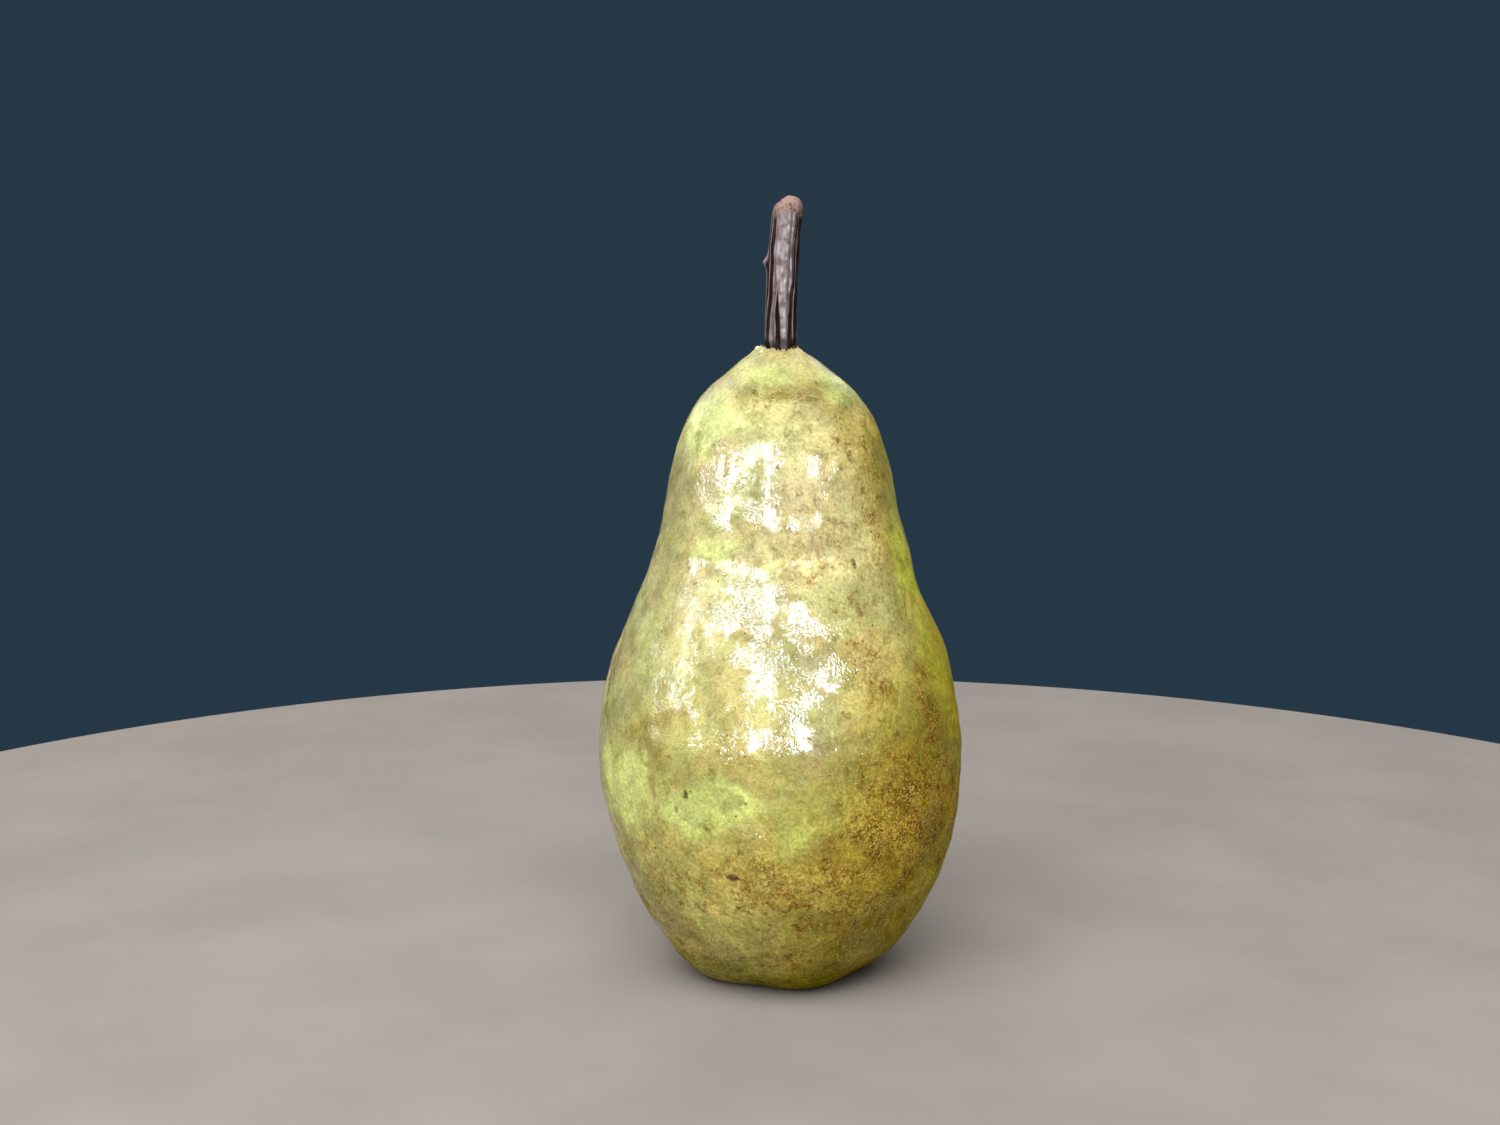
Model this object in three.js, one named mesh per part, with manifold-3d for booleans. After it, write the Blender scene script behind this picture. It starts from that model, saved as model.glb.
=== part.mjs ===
// A pear with its stalk and its dried calyx, standing on its calyx end.
// Millimetres, +Z up. The front is -Y, and angles are in degrees round Z from +X.
// The origin is on the surface that it stands on, under the middle of its bounding box.

import * as THREE from "three";
import { mergeVertices } from "three/addons/utils/BufferGeometryUtils.js";
import Module from "manifold-3d";

const wasm = await Module();
wasm.setup();

// ---------------------------------------------------------------- driving dimensions

const FRUIT_HEIGHT = 110.8; // to the lip round the stalk
const FOOT_INNER_RADIUS = 10.4;
const FOOT_OUTER_RADIUS = 12.8;

const STALK_LENGTH = 25.8; // above the lip
const STALK_RADIUS = 2.85;
const STALK_SUNK = 7.0; // the root's depth below the lip
const STALK_ROOT_RADIUS = 2.6;

const CALYX_RADIUS = 2.6;
const CALYX_SUNK = 2.6; // the root's depth above the basin's floor
const BASIN_DEPTH = 5.6; // the calyx basin's floor, above the foot
const SEPALS = 5;

const GAP = 0.35; // between two pieces that meet

// The flank from the foot to just under the lip, as [radius, height].
const FLANK = [
  [FOOT_OUTER_RADIUS, 0],
  [16.2, 1.6],
  [20.5, 5.4],
  [26.1, 14.5],
  [30.4, 26],
  [31.9, 39],
  [31.2, 49.5],
  [28.1, 60.5],
  [23.7, 71],
  [20.7, 81],
  [18.9, 91],
  [16.4, 98],
  [12.2, 104],
  [8.2, 107.4],
  [4.9, 110.2],
];

// Swellings and hollows of the flank, as [angle, height, reach, rise].
// The rise is outward at the middle, and it fades to a third at the reach.
const LUMPS = [
  // left side
  [180, 34, 8, 0.5],
  [188, 25, 7, -0.7],
  [192, 13, 10, -0.6],
  [176, 57, 9, 0.3],
  // right side
  [350, 15, 12, 0.7],
  [2, 31, 7, 0.4],
  [358, 60, 6, 0.6],
  [357, 66.5, 5, -0.9],
  [2, 76, 6, 0.4],
  [0, 103, 6, 0.6],
  [325, 84, 8, -0.4],
  // front
  [272, 101, 6, -0.6],
  [246, 74, 7, -0.5],
  [286, 76, 6, -0.4],
  [262, 88, 9, 0.4],
  [250, 50, 11, 0.5],
  [300, 45, 10, -0.5],
  [284, 62, 8, 0.4],
  [226, 9, 5, -0.9],
  [312, 12, 7, -0.5],
  [270, 20, 14, 0.4],
  // back
  [64, 46, 15, 0.8],
  [108, 27, 13, -0.7],
  [92, 70, 9, 0.6],
  [135, 86, 9, -0.5],
  [48, 94, 8, -0.4],
  [40, 17, 9, 0.6],
  [140, 58, 10, 0.5],
];

// The five lobes of the calyx end swell outward and leave flat pads to stand on.
const LOBES = 5;
const LOBE_ANGLE = 288; // the first one
const LOBE_SWELL = 0.6; // outward, at the foot
const LOBE_FADE = 10; // the height at which the swell is down to a third
const VALLEY_RISE = 0.7; // of the foot between two lobes
const PAD_DEPTH = 0.3; // what the flat pads cut off each lobe

// The stalk's grooves, as [angle, depth], all of one width, turning slowly as they climb.
const GROOVES = [
  [213, 0.3],
  [236, 0.42],
  [256, 0.26],
  [302, 0.4],
  [336, 0.45],
  [8, 0.3],
  [48, 0.42],
  [88, 0.3],
  [128, 0.44],
  [170, 0.34],
];
const GROOVE_WIDTH = 8; // degrees, from its middle to a third of its depth
const GROOVE_TURN = 10; // degrees, from the lip to the tip
const STALK_LEAN = [1.6, -0.7]; // how far the tip stands off the root, in X and Y
const STALK_OFFSET = -0.4; // of the lip and the root from the fruit's axis, in X

// ---------------------------------------------------------------- helpers

const radians = THREE.MathUtils.degToRad;
const bell = (distance) => Math.exp(-distance * distance);
const ramp = THREE.MathUtils.smoothstep;

// The turn from angle b to angle a, between -180 and 180 degrees.
function turn(a, b) {
  return THREE.MathUtils.euclideanModulo(a - b + 180, 360) - 180;
}

// A closed body of revolution about Z whose profile is a list of [radius, height] points that starts and ends on
// the axis. reshape(radius, angle, height) gives the [x, y, z] of each point.
function turned(profile, segments, reshape) {
  const points = profile.map(([radius, height]) => new THREE.Vector2(radius, height));
  const geometry = new THREE.LatheGeometry(points, segments).rotateX(Math.PI / 2);
  geometry.deleteAttribute("normal");
  geometry.deleteAttribute("uv");
  const position = geometry.getAttribute("position");
  for (let i = 0; i < position.count; i++) {
    const [x, y, z] = [position.getX(i), position.getY(i), position.getZ(i)];
    const angle = THREE.MathUtils.radToDeg(Math.atan2(y, x));
    position.setXYZ(i, ...reshape(Math.hypot(x, y), angle, z));
  }
  return mergeVertices(geometry, 1e-3);
}

// count points along a smooth curve through [radius, height] points, without the first one.
function smooth(points, count) {
  const curve = new THREE.SplineCurve(points.map(([a, b]) => new THREE.Vector2(a, b)));
  return curve
    .getSpacedPoints(count)
    .slice(1)
    .map((p) => [p.x, p.y]);
}

function toSolid(geometry) {
  const merged = mergeVertices(geometry, 1e-4);
  return new wasm.Manifold(
    new wasm.Mesh({
      numProp: 3,
      vertProperties: merged.getAttribute("position").array,
      triVerts: new Uint32Array(merged.index.array),
    }),
  );
}

function toGeometry(solid) {
  const mesh = solid.getMesh();
  const geometry = new THREE.BufferGeometry();
  geometry.setAttribute("position", new THREE.BufferAttribute(mesh.vertProperties, 3));
  geometry.setIndex(new THREE.BufferAttribute(mesh.triVerts, 1));
  return geometry;
}

function named(name, geometry, color, roughness) {
  geometry.computeVertexNormals();
  const material = new THREE.MeshStandardMaterial({ color, roughness, metalness: 0, flatShading: true });
  const mesh = new THREE.Mesh(geometry, material);
  mesh.name = name;
  return mesh;
}

// ---------------------------------------------------------------- fruit

const FRUIT_SEGMENTS = 72;
const FLANK_STEPS = 44;
const BASIN_STEPS = 6;
const LIP_RADIUS = 4.3; // the crest of the lip
const STALK_SOCKET_RADIUS = STALK_RADIUS + GAP;
const STALK_SOCKET_FLOOR = FRUIT_HEIGHT - STALK_SUNK - GAP;
const CALYX_SOCKET_RADIUS = CALYX_RADIUS + GAP;
const CALYX_SOCKET_ROOF = BASIN_DEPTH + CALYX_SUNK + GAP;

// From the roof of the calyx's socket, out over the basin and the foot, up the flank and over the lip, and down to
// the floor of the stalk's socket.
function fruitProfile() {
  const basin = [
    [CALYX_SOCKET_RADIUS, BASIN_DEPTH],
    [CALYX_SOCKET_RADIUS + 2.2, BASIN_DEPTH - 0.8],
    [FOOT_INNER_RADIUS - 2.2, BASIN_DEPTH * 0.4],
    [FOOT_INNER_RADIUS, 0],
  ];
  return [
    [0, CALYX_SOCKET_ROOF],
    [CALYX_SOCKET_RADIUS, CALYX_SOCKET_ROOF],
    [CALYX_SOCKET_RADIUS, BASIN_DEPTH],
    ...smooth(basin, BASIN_STEPS),
    [FOOT_OUTER_RADIUS, 0],
    ...smooth(FLANK, FLANK_STEPS),
    [LIP_RADIUS, FRUIT_HEIGHT],
    [STALK_SOCKET_RADIUS + 0.3, FRUIT_HEIGHT],
    [STALK_SOCKET_RADIUS, FRUIT_HEIGHT - 0.7],
    [STALK_SOCKET_RADIUS, STALK_SOCKET_FLOOR],
    [0, STALK_SOCKET_FLOOR],
  ];
}

function lumpsAt(radius, angle, height) {
  return LUMPS.reduce((sum, [lumpAngle, lumpHeight, reach, rise]) => {
    const along = radius * radians(turn(angle, lumpAngle));
    return sum + rise * bell(Math.hypot(along, height - lumpHeight) / reach);
  }, 0);
}

// The wavy crest of the lip, which is highest at a bead on its left.
function lipRise(angle) {
  return 0.3 * Math.cos(radians(2 * angle - 30)) + 0.45 * bell(turn(angle, 186) / 22);
}

function reshapeFruit(radius, angle, height) {
  const onFlank = ramp(radius, LIP_RADIUS, FOOT_INNER_RADIUS);
  const lobe = (1 + Math.cos(radians(LOBES * (angle - LOBE_ANGLE)))) / 2;
  const nearFoot = bell(height / LOBE_FADE) * ramp(radius, FOOT_INNER_RADIUS / 2, FOOT_INNER_RADIUS);
  const nearLip = ramp(height, FRUIT_HEIGHT - 2, FRUIT_HEIGHT);
  const out = radius + onFlank * lumpsAt(radius, angle, height) + nearFoot * LOBE_SWELL * (lobe - 0.5);
  const lift = nearFoot * (VALLEY_RISE * (1 - lobe) - PAD_DEPTH) + nearLip * lipRise(angle);
  const aside = STALK_OFFSET * ramp(height, STALK_SOCKET_FLOOR - 10, STALK_SOCKET_FLOOR);
  return [aside + out * Math.cos(radians(angle)), out * Math.sin(radians(angle)), Math.max(0, height + lift)];
}

const fruit = named(
  "fruit",
  turned(fruitProfile(), FRUIT_SEGMENTS, reshapeFruit),
  new THREE.Color(0.36, 0.36, 0.09),
  0.3,
);

// ---------------------------------------------------------------- stalk

const STALK_SEGMENTS = 64;
const STALK_STEPS = 22;
const STALK_TIP = FRUIT_HEIGHT + STALK_LENGTH;
const TIP_LENGTH = 2.6; // the rounded end

// From the root up to the rounded tip. The root is plain, so that it stands clear in its socket.
function stalkProfile() {
  const side = [
    [STALK_ROOT_RADIUS, FRUIT_HEIGHT - 0.6],
    [STALK_RADIUS, FRUIT_HEIGHT + 1.5],
    [STALK_RADIUS * 0.98, FRUIT_HEIGHT + STALK_LENGTH * 0.5],
    [STALK_RADIUS * 0.97, FRUIT_HEIGHT + STALK_LENGTH * 0.72],
    [STALK_RADIUS * 0.88, STALK_TIP - TIP_LENGTH],
    [STALK_RADIUS * 0.62, STALK_TIP - TIP_LENGTH * 0.3],
    [STALK_RADIUS * 0.3, STALK_TIP - TIP_LENGTH * 0.06],
  ];
  return [
    [0, FRUIT_HEIGHT - STALK_SUNK],
    [STALK_ROOT_RADIUS, FRUIT_HEIGHT - STALK_SUNK],
    side[0],
    ...smooth(side, STALK_STEPS),
    [0, STALK_TIP],
  ];
}

function reshapeStalk(radius, angle, height) {
  const climb = (height - FRUIT_HEIGHT) / STALK_LENGTH; // 0 at the lip, 1 at the tip
  const grooved = ramp(height, FRUIT_HEIGHT - 0.6, FRUIT_HEIGHT + 2) * (1 - ramp(climb, 0.84, 0.93));
  const grooves = GROOVES.reduce((sum, [grooveAngle, depth]) => {
    return sum + depth * bell(turn(angle, grooveAngle - GROOVE_TURN * climb) / GROOVE_WIDTH);
  }, 0);
  const burr = 0.55 * bell(turn(angle, 182) / 16) * bell((climb - 0.56) / 0.04);
  const swell = 0.12 * bell((climb - 0.93) / 0.06); // the scar at the tip is a little wider
  const out = radius * (1 + swell) - grooved * grooves + burr;
  const lean = Math.max(0, climb) ** 2;
  const slant = 0.16 * ramp(climb, 0.85, 1); // the tip is higher on the side that it leans to
  const x = out * Math.cos(radians(angle));
  const y = out * Math.sin(radians(angle));
  return [
    x + STALK_OFFSET + STALK_LEAN[0] * lean,
    y + STALK_LEAN[1] * lean,
    height + slant * x,
  ];
}

const stalk = named(
  "stalk",
  turned(stalkProfile(), STALK_SEGMENTS, reshapeStalk),
  new THREE.Color(0.09, 0.05, 0.04),
  0.4,
);

// ---------------------------------------------------------------- calyx

const CALYX_SEGMENTS = 30;
const SEPAL_LENGTH = 5.4;
const SEPAL_WIDTH = 3.2;
const SEPAL_THICKNESS = 0.8;
const SEPAL_STEPS = 6;

// The cup that the sepals grow from, sunk in its socket, with the hollow that the flower left.
function calyxCup() {
  const mouth = BASIN_DEPTH - 0.9;
  const profile = [
    [0, mouth + 1.2],
    [CALYX_RADIUS * 0.55, mouth + 0.7],
    [CALYX_RADIUS * 0.85, mouth],
    [CALYX_RADIUS, mouth + 0.4],
    [CALYX_RADIUS, BASIN_DEPTH + CALYX_SUNK],
    [0, BASIN_DEPTH + CALYX_SUNK],
  ];
  const asTurned = (radius, angle, height) => [
    radius * Math.cos(radians(angle)),
    radius * Math.sin(radians(angle)),
    height,
  ];
  return toSolid(turned(profile, CALYX_SEGMENTS, asTurned));
}

// One dried sepal, a pointed blade from the cup's rim that curls down and outward into the basin.
function sepal(angle, curl) {
  const outline = new THREE.Shape();
  outline.moveTo(0, -SEPAL_WIDTH * 0.4);
  outline.quadraticCurveTo(SEPAL_LENGTH * 0.45, -SEPAL_WIDTH * 0.62, SEPAL_LENGTH, -0.25);
  outline.lineTo(SEPAL_LENGTH, 0.25);
  outline.quadraticCurveTo(SEPAL_LENGTH * 0.45, SEPAL_WIDTH * 0.62, 0, SEPAL_WIDTH * 0.4);
  const blade = new THREE.ExtrudeGeometry(outline, {
    depth: SEPAL_THICKNESS,
    bevelEnabled: false,
    curveSegments: SEPAL_STEPS,
  });
  blade.deleteAttribute("normal");
  blade.deleteAttribute("uv");
  const position = blade.getAttribute("position");
  for (let i = 0; i < position.count; i++) {
    const reach = position.getX(i) / SEPAL_LENGTH;
    const across = position.getY(i);
    position.setXYZ(
      i,
      CALYX_RADIUS * 0.7 + reach * SEPAL_LENGTH * (1 - 0.35 * curl),
      across,
      position.getZ(i) - SEPAL_LENGTH * 0.5 * curl * Math.sin(reach * 2) + 0.12 * across * across,
    );
  }
  blade.translate(0, 0, BASIN_DEPTH - 1.3).rotateZ(radians(angle));
  return toSolid(blade);
}

function calyxSolid() {
  let solid = calyxCup();
  for (let i = 0; i < SEPALS; i++) {
    const curl = 0.62 + 0.16 * Math.sin(2.4 * i); // no two sepals have dried alike
    solid = solid.add(sepal(LOBE_ANGLE + 36 + (i * 360) / SEPALS, curl));
  }
  return solid;
}

const calyx = named("calyx", toGeometry(calyxSolid()), new THREE.Color(0.06, 0.035, 0.02), 0.85);

// ---------------------------------------------------------------- the whole pear

const pear = new THREE.Group();
pear.add(fruit, stalk, calyx);

const middle = new THREE.Box3().setFromObject(pear, true).getCenter(new THREE.Vector3());
pear.position.set(-middle.x, -middle.y, 0);

export default pear;
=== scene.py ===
"""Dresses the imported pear: a fine skin, a grooved stalk and a dried calyx stand in for their CAD solids.
Round them are a pale table, window-like soft lights and a camera in front.

Metres, +Z up, the front is -Y. Angles are in degrees round Z from +X, unless a comment says otherwise.
Names that end in _MM, and the lists of forms and stains, are in millimetres."""

import math

import bmesh
import bpy
import numpy as np
from mathutils import Euler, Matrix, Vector, noise


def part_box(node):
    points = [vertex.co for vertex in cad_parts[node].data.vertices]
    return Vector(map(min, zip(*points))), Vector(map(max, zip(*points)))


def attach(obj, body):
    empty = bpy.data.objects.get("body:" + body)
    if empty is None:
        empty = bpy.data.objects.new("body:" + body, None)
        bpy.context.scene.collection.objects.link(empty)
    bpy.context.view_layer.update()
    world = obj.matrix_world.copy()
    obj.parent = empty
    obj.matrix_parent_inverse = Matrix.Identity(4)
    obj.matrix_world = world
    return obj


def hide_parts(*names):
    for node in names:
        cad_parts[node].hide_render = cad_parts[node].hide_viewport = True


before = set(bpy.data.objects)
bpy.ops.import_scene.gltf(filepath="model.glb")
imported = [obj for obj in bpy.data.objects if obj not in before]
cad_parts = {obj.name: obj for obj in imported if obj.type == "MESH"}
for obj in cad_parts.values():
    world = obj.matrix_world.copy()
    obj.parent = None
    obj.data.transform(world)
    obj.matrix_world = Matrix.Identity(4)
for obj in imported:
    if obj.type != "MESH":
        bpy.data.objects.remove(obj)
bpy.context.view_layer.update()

MM = 0.001

# ---------------------------------------------------------------- what the frame gives

FRUIT_LOW, FRUIT_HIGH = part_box("fruit")
STALK_LOW, STALK_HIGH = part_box("stalk")
CALYX_LOW, CALYX_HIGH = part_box("calyx")

FRUIT_HEIGHT = FRUIT_HIGH.z
FRUIT_AXIS = Vector((0, 0, 0))
STALK_AXIS = Vector((-0.3 * MM, 0, 0))  # where the stalk leaves the fruit

# ---------------------------------------------------------------- numbers over points


def bell(distance):
    """1 at 0, fading to a third at 1 and to nothing past 2."""
    return np.exp(-(distance**2))


def ramp(value, start, end):
    """0 before start and 1 after end, with a smooth rise between them."""
    t = np.clip((value - start) / (end - start), 0, 1)
    return t * t * (3 - 2 * t)


def waves(points, size, seed):
    """Smooth noise, from about -1 to 1, whose bumps are about size across. Each seed gives another one."""
    shift = Vector((seed * 7.31, seed * 3.17, seed * 5.71))
    return np.array([noise.noise(Vector(point) / size + shift) for point in points])


def turn(a, b):
    """The turn from angle b to angle a, from -180 to 180 degrees."""
    return (a - b + 180) % 360 - 180


def between(a, b, share):
    """a, turning to b by share."""
    return a + (b - a) * share


class Surface:
    """The points of a piece, with their angle and distance round its axis and the way outward."""

    def __init__(self, piece, axis):
        self.piece = piece
        self.points = read_vertices(piece, "co")
        away = self.points - np.array(axis)
        self.angle = np.degrees(np.arctan2(away[:, 1], away[:, 0])) % 360
        self.radius = np.hypot(away[:, 0], away[:, 1])
        self.height = self.points[:, 2].copy()
        self.outward = read_vertices(piece, "normal")

    def spot(self, angle, height, wide, tall, sideways=0.0, drift=0.0):
        """A soft round spot on the surface, 1 at its middle. wide and tall are its reaches in metres.
        sideways, in degrees, and drift, in metres, shift each point before it is measured."""
        along = self.radius * np.radians(turn(self.angle + sideways, angle))
        return bell(np.hypot(along / wide, (self.height + drift - height) / tall))

    def raise_by(self, lift):
        """Moves each point outward by its own lift in metres."""
        self.points += self.outward * lift[:, None]

    def apply(self):
        """Writes the points back to the piece."""
        self.piece.data.vertices.foreach_set("co", self.points.astype(np.float32).ravel())
        self.piece.data.update()

    def store(self, name, values):
        """Keeps one value for each point on the mesh, for the material to read."""
        attribute = self.piece.data.attributes.new(name, "FLOAT", "POINT")
        attribute.data.foreach_set("value", values.astype(np.float32))


def read_vertices(piece, name):
    """The place ("co") or the "normal" of each vertex, one row for each."""
    found = np.empty(len(piece.data.vertices) * 3, np.float32)
    piece.data.vertices.foreach_get(name, found)
    return found.reshape(-1, 3).astype(float)


def near_place(points, place_mm, reach_mm):
    """A soft ball round a place, 1 at its middle."""
    return bell(np.linalg.norm(points - np.array(place_mm) * MM, axis=1) / (reach_mm * MM))


def fit_to_box(points, low, high):
    """The points stretched slightly, to fill the box of the node that they stand for."""
    least, most = points.min(0), points.max(0)
    return np.array(low) + (points - least) / (most - least) * (np.array(high) - np.array(low))


# ---------------------------------------------------------------- pieces from the frame

WELD_MM = 0.002  # corners closer than this are welded into one
QUAD_ANGLE = math.radians(60)  # triangles that meet at less than this are joined in pairs
STEEPNESS = 2  # a steep edge runs up or outward more than this many times as far as it runs round


def finer_copy(node, name, levels):
    """A new object with the node's mesh, its split corners welded and its facets smoothed by subdivision."""
    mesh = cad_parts[node].data.copy()
    bm = bmesh.new()
    bm.from_mesh(mesh)
    bmesh.ops.remove_doubles(bm, verts=bm.verts, dist=WELD_MM * MM)
    bmesh.ops.join_triangles(
        bm, faces=bm.faces, angle_face_threshold=QUAD_ANGLE, angle_shape_threshold=QUAD_ANGLE
    )
    bm.to_mesh(mesh)
    bm.free()
    mesh.materials.clear()
    cage = bpy.data.objects.new(name + "_cage", mesh)
    bpy.context.scene.collection.objects.link(cage)
    smoother = cage.modifiers.new("smooth", "SUBSURF")
    smoother.levels = levels
    made = bpy.data.meshes.new_from_object(cage.evaluated_get(bpy.context.evaluated_depsgraph_get()))
    bpy.data.objects.remove(cage)
    piece = bpy.data.objects.new(name, made)
    bpy.context.scene.collection.objects.link(piece)
    smooth_shade(piece)
    return piece


def add_rows(piece, low, reach, cuts):
    """Cuts each steep edge that is above low and within reach of the stalk's axis, for finer rows there."""
    bm = bmesh.new()
    bm.from_mesh(piece.data)
    steep = []
    for edge in bm.edges:
        a, b = (corner.co - STALK_AXIS for corner in edge.verts)
        if min(a.z, b.z) < low or max(a.xy.length, b.xy.length) > reach:
            continue
        climb = math.hypot(a.xy.length - b.xy.length, a.z - b.z)
        if climb > STEEPNESS * a.xy.length * a.xy.angle(b.xy, 0):
            steep.append(edge)
    bmesh.ops.subdivide_edges(bm, edges=steep, cuts=cuts, use_grid_fill=True)
    bm.to_mesh(piece.data)
    bm.free()
    smooth_shade(piece)


def smooth_shade(piece):
    piece.data.polygons.foreach_set("use_smooth", [True] * len(piece.data.polygons))
    piece.data.update()


def dress(piece, node, material):
    """The piece stands for the node, with its own material."""
    piece.data.materials.clear()
    piece.data.materials.append(material)
    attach(piece, "root")
    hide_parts(node)


# ---------------------------------------------------------------- material nodes

# The numbers of a Mix node's colour inputs and of its colour output.
MIX_A = 6
MIX_B = 7
MIX_COLOUR = 2


class Nodes:
    """A material's node tree. Each method makes nodes and returns their output, which the next can take."""

    def __init__(self, name):
        self.material = bpy.data.materials.new(name)
        self.material.use_nodes = True
        self.tree = self.material.node_tree
        self.tree.nodes.clear()
        self.place = self.add("ShaderNodeTexCoord", "Object")

    def add(self, kind, output=0, inputs=None, **settings):
        """A node, with numbers, colours or other nodes' outputs on its inputs."""
        node = self.tree.nodes.new(kind)
        for name, value in settings.items():
            setattr(node, name, value)
        for key, value in (inputs or {}).items():
            if isinstance(value, bpy.types.NodeSocket):
                self.tree.links.new(value, node.inputs[key])
            else:
                node.inputs[key].default_value = value
        return node.outputs[output]

    def noise(self, size_mm, detail=2.0, roughness=0.5, place=None, warp=0.0):
        """Noise from 0 to 1 with blotches about size_mm across."""
        return self.add(
            "ShaderNodeTexNoise",
            "Fac",
            {
                "Vector": place or self.place,
                "Scale": 1 / (size_mm * MM),
                "Detail": detail,
                "Roughness": roughness,
                "Distortion": warp,
            },
        )

    def cells(self, size_mm, output):
        """Distance from the nearest of scattered points about size_mm apart, or the Color of its cell."""
        return self.add("ShaderNodeTexVoronoi", output, {"Vector": self.place, "Scale": 1 / (size_mm * MM)})

    def stretched(self, scale):
        """The place, scaled along X, Y and Z."""
        return self.add("ShaderNodeMapping", inputs={"Vector": self.place, "Scale": scale})

    def moved(self, shift):
        """The place, moved by a shift in metres, so that a noise over it differs from the others."""
        return self.add("ShaderNodeMapping", inputs={"Vector": self.place, "Location": shift})

    def attribute(self, name):
        """The values that Surface.store kept under the name."""
        return self.add("ShaderNodeAttribute", "Fac", attribute_name=name)

    def level(self, value, start, end, low=0.0, high=1.0):
        """low where value is start or less, high where it is end or more, smooth between."""
        return self.add(
            "ShaderNodeMapRange",
            inputs={"Value": value, "From Min": start, "From Max": end, "To Min": low, "To Max": high},
            interpolation_type="SMOOTHSTEP",
        )

    def plus(self, a, b):
        return self.add("ShaderNodeMath", inputs={0: a, 1: b}, operation="ADD")

    def times(self, a, b):
        return self.add("ShaderNodeMath", inputs={0: a, 1: b}, operation="MULTIPLY")

    def blend(self, a, b, share):
        """Colour a turning to colour b by share."""
        inputs = {0: share, MIX_A: colour(a), MIX_B: colour(b)}
        return self.add("ShaderNodeMix", MIX_COLOUR, inputs, data_type="RGBA", clamp_factor=True)

    def shade(self, base, value):
        """The colour with its brightness times value."""
        return self.add("ShaderNodeHueSaturation", inputs={"Color": base, "Value": value})

    def tint(self, base, tone, share):
        """The colour times the tone, by share."""
        inputs = {0: share, MIX_A: base, MIX_B: colour(tone)}
        return self.add("ShaderNodeMix", MIX_COLOUR, inputs, data_type="RGBA", blend_type="MULTIPLY")

    def bump(self, height, depth_mm, below=None):
        """The normal of a surface that height, from 0 to 1, raises by up to depth_mm, over that of below."""
        inputs = {"Height": height, "Distance": depth_mm * MM, "Strength": 1.0}
        if below is not None:
            inputs["Normal"] = below
        return self.add("ShaderNodeBump", inputs=inputs)

    def finish(self, **inputs):
        """Ends the tree with a Principled shader. Input names have _ for spaces."""
        named = {name.replace("_", " "): value for name, value in inputs.items()}
        shader = self.add("ShaderNodeBsdfPrincipled", inputs=named)
        output = self.tree.nodes.new("ShaderNodeOutputMaterial")
        self.tree.links.new(shader, output.inputs["Surface"])
        return self.material


def colour(value):
    """A node's output as it is, or a colour with its alpha."""
    return value if isinstance(value, bpy.types.NodeSocket) else (*value, 1.0)


# ---------------------------------------------------------------- the fruit's form

# Soft waves of the skin: (size across, rise), from broad swells down to its own grain.
SKIN_WAVES_MM = [(14.0, 0.24), (7.0, 0.22), (3.6, 0.12), (2.0, 0.05)]

# Low ridges that run down the neck: (angle, width in degrees, rise in mm).
NECK_RIDGES = [
    (222, 9, 0.14),
    (244, 7, 0.16),
    (262, 6, 0.14),
    (270, 7, 0.24),
    (300, 8, 0.1),
    (318, 9, 0.14),
    (345, 11, 0.16),
    (20, 12, 0.14),
    (62, 11, 0.16),
    (104, 12, 0.14),
    (150, 12, 0.16),
    (190, 10, 0.12),
]

# Dents and folds: (angle, height, reach round, reach up, rise), all but the angle in mm.
FOLDS = [
    (280, 104.8, 5.5, 0.9, -0.28),  # the crease of the dome, an arch
    (264, 103.6, 2.5, 0.9, -0.2),
    (298, 103.7, 2.5, 0.9, -0.2),
    (246, 103.4, 3.0, 0.8, -0.22),
    (322, 101.0, 3.5, 0.9, -0.2),
    (217, 14.5, 3.5, 1.2, -0.3),  # the fold at the lower left
    (225, 10.0, 4.0, 1.3, -0.35),
    (238, 6.5, 4.0, 1.2, -0.25),
    (258, 75.4, 12.0, 2.0, -0.45),  # the waist
    (292, 77.5, 8.0, 1.6, -0.4),
    (277.5, 48.9, 0.7, 0.7, -0.35),  # a pit
    (303, 75.8, 0.8, 1.3, -0.25),
    (318, 15.0, 7.0, 1.4, -0.3),
    (60, 84.0, 6.0, 1.2, -0.25),
    (120, 66.0, 7.0, 1.3, -0.25),
    (88, 20.0, 8.0, 1.5, -0.35),
    (150, 30.0, 6.0, 1.6, -0.25),
    (30, 55.0, 5.0, 1.2, -0.2),
]

# Small pale beads on the lip: (place, reach, rise), in mm.
LIP_BEADS = [((-4.0, -1.3, 110.95), 0.5, 0.45), ((-3.3, -3.2, 110.3), 0.35, 0.25)]

LIP_PULL_MM = 0.35  # how far the lip is drawn in all round
LIP_PULL_RIGHT_MM = 0.45  # how much further at its right
LIP_RIGHT = 350
LIP_DIP_MM = 0.45  # how far it dips at its left
LIP_LEFT = 188

COLLAR_RADIUS = 3.05 * MM  # of the dried edge of the skin, which clings to the stalk
COLLAR_RISE = 0.75 * MM

NECK_WANDER = 10  # how many degrees the ridges of the neck stray
FOOT_PRESS = 0.12 * MM  # how much of the relief under the foot is pressed flat on the table


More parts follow.
